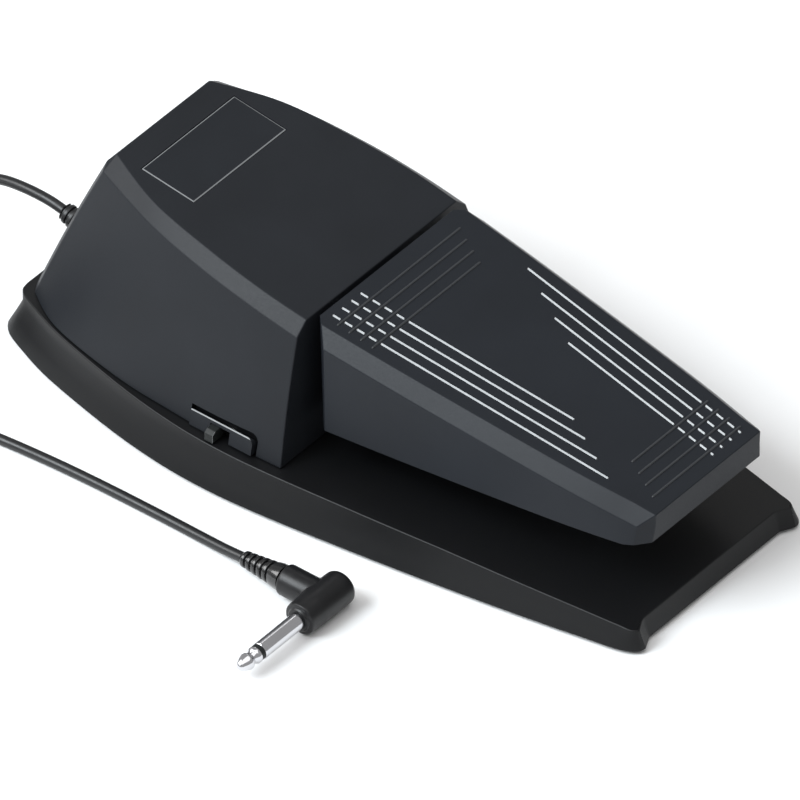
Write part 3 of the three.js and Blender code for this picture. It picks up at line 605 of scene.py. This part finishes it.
def coil_tie():
    """A strap round the turns, as a closed band."""
    reach = 1.5 * COIL_PITCH + CABLE_RADIUS
    low, high = 0.05, COIL_LIFT + (COIL_LAYERS - 1) * COIL_PITCH + 2 * CABLE_RADIUS + 1.0
    left, right = COIL_RADIUS - reach - 1.3, COIL_RADIUS + reach + 0.9
    corner = 2.4
    loop = arc((right - corner, high - corner), corner, 90, 0, 6)
    loop += arc((right - corner, low + corner), corner, 0, -90, 6)
    loop += arc((left + corner, low + corner), corner, -90, -180, 6)
    loop += arc((left + corner, high - corner), corner, 180, 90, 6)
    vertices, faces = [], []
    count = len(loop)
    centre = ((left + right) / 2, (low + high) / 2)
    for side in (-2.8, 2.8):
        for thick in (0.0, 0.7):
            for x, z in loop:
                dx, dz = x - centre[0], z - centre[1]
                pull = thick / math.hypot(dx, dz)
                vertices.append((COIL_CENTRE[0] + x - dx * pull, COIL_CENTRE[1] + side, z - dz * pull))
    for i in range(count):
        n = (i + 1) % count
        for a, b in ((0, 1), (1, 3), (3, 2), (2, 0)):
            faces.append((a * count + i, a * count + n, b * count + n, b * count + i))
    obj = add_object("tie", mesh_data("tie", vertices, faces), RUBBER, "chassis")
    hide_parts("coil_tie")
    return settle(obj)


tie = coil_tie()


# ---------- base ----------
def base_outline():
    recess = fillet((0, 0), (35.3, 0), (40.5, -2.7), 0.6)
    ear_corner = fillet((35.3, 0), (40.5, -2.7), (41.6, -2.7), 0.4)
    ear = bezier((41.6, -2.7), (45.8, -2.2), (47.9, 8), 10)
    side = spline([(47.9, 8), (56.2, 54), (64.3, 110), (69.4, 160), (67.4, 198), (58.4, 241), (51, 262)], 44)
    corner = spline([(51, 262), (47.6, 269), (43.2, 273.2), (38, BASE_BACK)], 9)
    return recess + ear_corner + ear[1:-1] + side[:-1] + corner


def side_inset(height):
    """The sides lean in more than the front wall between the ears."""

    def inset(station):
        draft = 0.36 + 0.12 * min(max((station - 0.5) / 5, 0), 1)
        return min(draft * (height(station) - FOOT), 5.3)

    return inset


def base():
    outline = base_outline()
    edge = 0.55
    shoulder = lambda station: deck_top(station) - edge
    lean = side_inset(shoulder)
    inner = [(min(x, 45.0), max(y, 8.6)) if y < 8.6 else (x, y) for x, y in inset_half(outline, 2.6)]
    rings = [
        at_height(inner, 3.45),
        at_height(inner, FOOT),
        at_height(inset_half(outline, 0.5), FOOT),
        at_height(inset_half(outline, 0.15), FOOT + 0.12),
        at_height(inset_half(outline, 0.15), FOOT + 0.5),
    ]
    for share in (0.35, 0.7):
        middle = lambda station, s=share: mix(FOOT + 0.5, shoulder(station), s)
        rings.append(at_height(inset_half(outline, side_inset(middle)), middle))
    rings.append(at_height(inset_half(outline, lean), shoulder))
    for turn in (22.5, 45, 67.5, 90):
        angle = math.radians(turn)
        amount = lambda station, a=angle: lean(station) + edge * (1 - math.cos(a))
        height = lambda station, a=angle: shoulder(station) + edge * math.sin(a)
        rings.append(at_height(inset_half(outline, amount), height))
    ear = next(i for i, (x, y) in enumerate(outline) if y >= 8)
    obj = add_object("base", loft("base", rings, ear), BASE, "chassis")
    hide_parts("base_shell")
    return settle(obj, 38)


base()


# ---------- housing ----------
STEPS = 36


def housing_rings(inset, drop_floor=0.0):
    front = HOUSING_FRONT
    foot = [(58.4, 141.2), (59.8, 168), (59.4, 188), (57.4, 214), (50.4, 246), (40.6, 263.4)]
    foot = spline(foot, STEPS) + [(37, 265.6)]
    edge = spline([(45.5, front), (45.3, 164), (43.7, 187), (39.6, 213), (31, 240.9)], STEPS)
    edge.append((27.6, 241.9))
    top = spline([(40.3, front), (40.4, 164), (38.6, 188), (34.3, 216), (24.9, HOUSING_TOP_BACK)], STEPS)
    top.append((22.4, HOUSING_TOP_BACK))

    def edge_height(station):
        return housing_top(station) - (3.0 if station > 241.2 else 4.8)

    rings = []
    for share in (0.0, 0.04, 0.1, 0.22, 0.4, 0.6, 0.8, 1.0):
        swell = 0.8 * 4 * share * (1 - share)
        half = []
        heights = []
        for (x0, y0), (x1, y1) in zip(foot, edge):
            x, y = mix(x0, x1, share), mix(y0, y1, share)
            half.append((x + swell, y + (0.5 * swell if y > 200 else 0)))
            low = deck_top(y0) + 0.3 - drop_floor
            heights.append(mix(low, edge_height(y1) - 0.6 * inset, share))
        moved = inset_half(half, inset)
        rings.append([(x, y, z) for (x, y), z in zip(moved, heights)])
    rings.append(at_height(inset_half(top, 0.7 * inset), lambda y: housing_top(y) - inset))
    return rings


def rounded_panel(front, rear, top, corner, bottom):
    made = [(rear, bottom), (rear, top)]
    made += arc((front + corner, top - corner), corner, 90, 180, 6)
    return made + [(front, bottom)]


def badge_block(width, length, low, high):
    """The opening for the badge: a block along the housing's top face, from low to high above it."""
    station = BADGE_STATION
    slope = (housing_top(station + 5) - housing_top(station - 5)) / 10
    vertices = []
    for z in (low, high):
        for x, y in box_outline(-width / 2, width / 2, -length / 2, length / 2):
            vertices.append((x, station + y, housing_top(station) + slope * y + z))
    faces = [(0, 1, 2, 3), (4, 5, 6, 7), (0, 1, 5, 4), (1, 2, 6, 5), (2, 3, 7, 6), (3, 0, 4, 7)]
    return mesh_data("badge", vertices, faces, smooth=False)


def recess_groove():
    """A deeper groove along the edge of the switch's recess."""
    outer = rounded_panel(151.6, 180, 24.6, 3, 14)
    inner = rounded_panel(152.8, 190, 23.2, 2.0, 10)
    obj = bpy.data.objects.new("groove", extrude("groove", outer, "x", -60, -54.7))
    scene.collection.objects.link(obj)
    cut(obj, extrude("land", inner, "x", -62, -53))
    data = obj.data
    bpy.data.objects.remove(obj)
    return data


def housing():
    obj = add_object("housing", loft("housing", housing_rings(0.0)), BODY)
    bevel(obj, 0.45, 22, 3)
    hollow = bpy.data.objects.new("hollow", loft("hollow", housing_rings(2.5, 3.0)))
    scene.collection.objects.link(hollow)
    cut(hollow, extrude("pocket", box_outline(-62, -53.9, 148, 184), "z", 10, 28))
    cut(
        obj,
        hollow.data,
        extrude("opening", box_outline(-30, 30, 38, 62.5), "y", 130, 150),
        extrude("recess", rounded_panel(151.6, 180, 24.6, 3, 8), "x", -75, -56.4),
        extrude("slot", box_outline(162.3, 170.8, 17.5, 21), "x", -58, -50),
        badge_block(50.2, 23.3, -0.95, 2.0),
        recess_groove(),
    )
    bpy.data.objects.remove(hollow)
    obj.data.materials.append(BASE)  # painted shade: faces in the switch's recess take the darker base material
    for face in obj.data.polygons:
        x, station, z = face.center.x / MM, face.center.y / MM + MIDDLE, face.center.z / MM
        painted_recess_shade = -58.9 < x < -54.2 and 151.5 < station < 181 and 12 < z < 24.7
        if painted_recess_shade and (x > -57 or face.normal.x > -0.5):
            face.material_index = 1
    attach(obj, "chassis")
    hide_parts("housing_cover")
    return settle(obj, 30)


def badge():
    """The blank plate; its sloping border is coloured lighter than its face, a painted highlight."""
    station, rise = BADGE_STATION, (housing_top(223.0) - housing_top(213.0)) / 10
    rings = [(0.0, -0.52), (0.0, -0.16), (BADGE_BORDER, 0.0)]
    vertices = []
    for inset, z in rings:
        w, d = BADGE_HALF[0] - inset, BADGE_HALF[1] - inset
        for x, y in box_outline(-w, w, -d, d):
            vertices.append((x, station + y, housing_top(station) + rise * y + z))
    faces = [(0, 1, 2, 3), (8, 9, 10, 11)]
    for low in (0, 4):
        faces += [(low + k, low + (k + 1) % 4, low + 4 + (k + 1) % 4, low + 4 + k) for k in range(4)]
    data = mesh_data("badge", vertices, faces, smooth=False)
    obj = add_object("badge", data, BADGE, "chassis")
    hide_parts("badge_plate")
    data.materials.append(PAINTED_HIGHLIGHT)
    for face in data.polygons:
        if face.index > 5:  # the four faces of the border, coloured as a painted highlight
            face.material_index = 1
    return obj


housing()
badge()


def strain_relief():
    tilt = math.radians(14)
    profile = [(0, -11.0), (4.7, -11.0), (4.9, -10.8), (4.9, -10.1), (4.7, -9.8), (3.7, -9.7)]
    for i in range(4):
        radius = 4.4 - 0.25 * i
        low = -9.6 + i * 2.3
        profile += arc((radius - 0.35, low + 0.4), 0.35, -80, 0, 3)
        profile += arc((radius - 0.35, low + 1.2), 0.35, 0, 80, 3)
        profile += [(radius - 0.95, low + 1.65), (radius - 0.95, low + 2.25)]
    profile += [(3.2, -0.15), (2.9, 0), (0, 0)]
    direction = (0, math.cos(tilt), math.sin(tilt))
    obj = lathe("gland", profile, direction, (-12, 273.4, 30.7), JACKET, "chassis")
    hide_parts("strain_relief")
    return obj


strain_relief()


# ---------- polarity switch ----------
def switch_plate():
    """The plate round the knob, with a painted highlight: a lighter strip along its top edge."""
    lean = [(-56.7, 17.3), (-56.7, 21.2), (-59.05, 23.4), (-59.4, 23.08), (-60.6, 17.3)]
    obj = add_object("switch_plate", extrude("plate", lean, "y", 152.6, 179.4), BODY)
    outline = extrude("outline", rounded_panel(152.6, 179.4, 23.4, 2.2, 17.3), "x", -62, -55)
    cut(obj, outline, operation="INTERSECT")
    bevel(obj, 0.06, 35, 2)
    cut(obj, extrude("slot", box_outline(162.3, 170.8, 10, 21.9), "x", -62, -55))
    # painted highlight on the top edge's faces that tilt up towards the key light
    obj.data.materials.append(PAINTED_HIGHLIGHT)
    for face in obj.data.polygons:
        if face.center.z > 22.8 * MM and face.normal.x < -0.3 and face.normal.z > 0.4:
            face.material_index = 1
    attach(obj, "chassis")
    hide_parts("polarity_plate")
    return settle(obj)


def switch_knob():
    """The knob and its stem; the rounded edge towards the front is coloured lighter, a painted highlight."""
    outline = [(-57.6, 17.1), (-57.6, 21.6), (-62.0, 21.6), (-63.6, 20.4), (-63.6, 17.1)]
    obj = add_object("switch_knob", extrude("knob", outline, "y", 166.7, 170.4), SWITCH)
    bevel(obj, 0.3, 20, 3)
    cut(obj, extrude("stem", box_outline(166.9, 170.2, 18.2, 20.3), "x", -58, -50), operation="UNION")
    # painted highlight on the rounded edge between the knob's side and front faces
    obj.data.materials.append(PAINTED_HIGHLIGHT)
    for face in obj.data.polygons:
        if face.normal.x < -0.4 and face.normal.y < -0.4:
            face.material_index = 1
    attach(obj, "polarity_slider")
    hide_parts("polarity_slider")
    return settle(obj)


switch_plate()
switch_knob()


# ---------- treadle ----------
SIDE_REAR = 139.3  # last station of the side's curve, before it is fitted
DIAGONAL = 178.2  # x plus station along the cut rear corner


def treadle_half(outwards, corner, edge, rear):
    side = spline([(28.4, 8.5), (31.7, 36), (34.9, 76), (37.4, 112), (38.9, SIDE_REAR)], 20)
    last = len(side) - 1
    stop = DIAGONAL - (side[last][0] + outwards)
    fitted = [(x + outwards, y + (stop - SIDE_REAR) * i / last) for i, (x, y) in enumerate(side)]
    return [edge, corner, *fitted[1:], (DIAGONAL - rear, rear)]


def treadle_rings(inset, sink=0.0):
    skirt = treadle_half(7, (34, 8.2), (29, 4), 134)
    edge = treadle_half(4.6, (33, 7.7), (28.2, 3.4), 141.3)
    nose = ((28.1, 4.8), (26.8, 3.2)) if inset else ((28.2, 3.2), (28.2, 3.2))
    top = treadle_half(0, *nose, 142.4)
    return [
        at_height(inset_half(skirt, inset), lambda y: skirt_bottom(y) - sink),
        at_height(inset_half(edge, inset), lambda y: treadle_top(y) - 5.2 - 0.6 * inset),
        at_height(inset_half(top, 0.7 * inset), lambda y: treadle_top(y) - inset),
    ]


def treadle():
    obj = add_object("treadle", loft("treadle", treadle_rings(0.0)), TREADLE)
    bevel(obj, 0.35, 14, 3)
    cut(
        obj,
        loft("hollow", treadle_rings(2.5, 2.0)),
        extrude("notch", box_outline(-19, 19, 126, 147), "z", 20, 61.6),
    )
    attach(obj, "pedal")
    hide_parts("treadle_shell")
    return settle(obj, 28)


# sections of the ribs: a round one, and one with a flat slanting face towards the key light
ROUNDED = [(-0.42, -0.2)]
ROUNDED += [(-0.42 * math.cos(math.pi * k / 8), 0.45 * math.sin(math.pi * k / 8)) for k in range(9)]
ROUNDED += [(0.42, -0.2)]
SLANTED = [(-0.3, -0.2), (-0.3, 0.0), (-0.16, 0.45), (-0.04, 0.45), (0.44, 0.0), (0.44, -0.2)]
RIB_TAPER = [(0.0, 0.25), (0.15, 0.7), (0.45, 1.0)]  # distance from the end, share of the section
CROSSING_GAP = 0.65


def ridge(start, stop, section):
    """A low rib on the treadle's top face, its ends tapered."""
    length = math.dist(start, stop)
    along = ((stop[0] - start[0]) / length, (stop[1] - start[1]) / length)
    across = (along[1], -along[0])
    ends = RIB_TAPER + [(length - at, share) for at, share in reversed(RIB_TAPER)]
    vertices, faces = [], []
    for at, share in ends:
        x, y = start[0] + along[0] * at, start[1] + along[1] * at
        for shift, lift in section:
            px, py = x + across[0] * shift * share, y + across[1] * shift * share
            vertices.append((px, py, treadle_top(py) + (lift * share if lift > 0 else lift)))
    row = len(section)
    for i in range(len(ends) - 1):
        for k in range(row):
            n = (k + 1) % row
            faces.append((i * row + k, i * row + n, (i + 1) * row + n, (i + 1) * row + k))
    faces.append(tuple(range(row)))
    faces.append(tuple((len(ends) - 1) * row + k for k in range(row)))
    return vertices, faces


def crossing(start, stop, station):
    """How far along a lengthwise rib a rib across the treadle meets it."""
    return math.dist(start, stop) * (station - start[1]) / (stop[1] - start[1])


def ribs():
    """Four groups of ribs. The lengthwise ones stop short of the ribs that cross them."""
    rearmost, foremost = 139.3, 6.9
    across, along = [], []
    for i in range(4):
        across.append(((-35.6, 135 - 5 * i), (30.8 - 2.65 * i, 135 - 5 * i)))
        across.append(((-22.6 + 2.7 * i, 9.4 + 5.07 * i), (25.3 + 0.5 * i, 9.4 + 5.07 * i)))
        near, end = -17.8 - 4.97 * i, 50.5 - 8.5 * i
        along.append(((near, rearmost), (near + 0.0575 * (rearmost - end), end)))
        far, begin = 32.2 - 5.95 * i, 107 - 10.6 * i
        along.append(((far, begin), (far - 0.0935 * (begin - foremost), foremost)))
    pieces = [(start, stop, ROUNDED) for start, stop in across]
    for start, stop in along:
        length = math.dist(start, stop)
        marks = sorted(crossing(start, stop, rib[0][1]) for rib in across)
        marks = [mark for mark in marks if 0 < mark < length]
        ends = [0.0] + [at for mark in marks for at in (mark - CROSSING_GAP, mark + CROSSING_GAP)] + [length]
        for low, high in zip(ends[::2], ends[1::2]):
            pieces.append((toward(start, stop, low), toward(start, stop, high), SLANTED))
    vertices, faces = [], []
    for start, stop, section in pieces:
        made, joined = ridge(start, stop, section)
        faces += [tuple(k + len(vertices) for k in face) for face in joined]
        vertices += made
    data = mesh_data("ribs", vertices, faces, smooth=False)
    return add_object("treadle_ribs", data, RIB, "pedal")


treadle()
ribs()


def return_spring():
    """A helix of wire, its end turns lying flat."""
    low, top, radius, wire, turns = 50.3, 65.7, 4.6, 0.65, 6
    steps, sides = 36 * turns, 8
    vertices = []
    for i in range(steps + 1):
        turn = math.tau * turns * i / steps
        share = min(max((i / steps - 0.04) / 0.92, 0.0), 1.0)
        middle = mix(low + wire, top - wire, share * share * (3 - 2 * share))
        for k in range(sides):
            angle = math.tau * k / sides
            out = radius + wire * math.cos(angle)
            x, y = -8 + out * math.cos(turn), 200 + out * math.sin(turn)
            vertices.append((x, y, middle + wire * math.sin(angle)))
    faces = [tuple(range(sides)), tuple(steps * sides + k for k in range(sides))]
    for i in range(steps):
        for k in range(sides):
            n = (k + 1) % sides
            faces.append((i * sides + k, i * sides + n, (i + 1) * sides + n, (i + 1) * sides + k))
    data = mesh_data("return_spring", vertices, faces)
    obj = add_object("spring", data, STEEL, "chassis")
    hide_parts("return_spring")
    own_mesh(obj)
    return obj


return_spring()


# ---------- feet, screws and the pieces kept from the CAD ----------
def centre_of(node):
    low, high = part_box(node)
    return (low + high) / 2 / MM


for node in [name for name in nodes if name.startswith("foot_")]:
    at = centre_of(node)
    profile = [(0, 0), (6.0, 0)] + arc((6.4, 0.6), 0.6, -80, 20, 5) + [(6.75, 1.38), (0, 1.38)]
    made = lathe("pad_" + node, profile, (0, 0, 1), (at.x, at.y + MIDDLE, 0), RUBBER, "chassis")
    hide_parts(node)

KEPT = {
    "moulded_plastic": BODY,
    "badge_plastic": BADGE,
    "treadle_plastic": TREADLE,
    "switch_plastic": SWITCH,
    "plug_plastic": GLOSS,
    "cable_jacket": JACKET,
    "rubber": RUBBER,
    "nylon": NYLON,
    "board": BOARD,
    "zinc_steel": ZINC,
    "bright_steel": STEEL,
    "chrome": CHROME,
}
for part in frame["record"]["subparts"]:
    kept = nodes[part["node"]]
    kept.data.materials.clear()
    kept.data.materials.append(KEPT[part["material_slot"]])


# ---------- floor and light ----------
FLOOR_REACH = 6.0
WORLD_STRENGTH = 0.42
floor_mesh = bpy.data.meshes.new("floor")
corners = box_outline(-FLOOR_REACH, FLOOR_REACH, -FLOOR_REACH, FLOOR_REACH)
floor_mesh.from_pydata([(x, y, 0) for x, y in corners], [], [(0, 1, 2, 3)])
floor = bpy.data.objects.new("floor", floor_mesh)
scene.collection.objects.link(floor)
floor_mesh.materials.append(surface("floor", (0.9, 0.9, 0.9), 0.9, spread=0.01, grain=2.0, bump=0.02))

world = bpy.data.worlds.new("studio")
scene.world = world
world.use_nodes = True
world.node_tree.nodes["Background"].inputs["Color"].default_value = (1, 1, 1, 1)
world.node_tree.nodes["Background"].inputs["Strength"].default_value = WORLD_STRENGTH


def softbox(name, place, size, power, color=(1, 1, 1)):
    """A soft rectangular light that faces the origin."""
    light = bpy.data.lights.new(name, "AREA")
    light.color = color
    light.shape = "RECTANGLE"
    light.size, light.size_y = size
    light.energy = power
    obj = bpy.data.objects.new(name, light)
    scene.collection.objects.link(obj)
    obj.location = Vector(place)
    obj.rotation_mode = "QUATERNION"
    obj.rotation_quaternion = (-Vector(place)).to_track_quat("-Z", "Y")
    return obj


softbox("key", (-1.58, 0.72, 1.66), (1.1, 1.3), 58.0, (0.9, 0.96, 1.0))
softbox("rim", (-0.97, 1.61, 1.33), (0.9, 1.1), 20.0)
softbox("overhead", (-0.4, -0.6, 2.3), (2.4, 2.4), 22.0)
softbox("strip", (1.43, 0.89, 1.7), (1.2, 0.16), 1.1)

scene.view_settings.view_transform = "Standard"
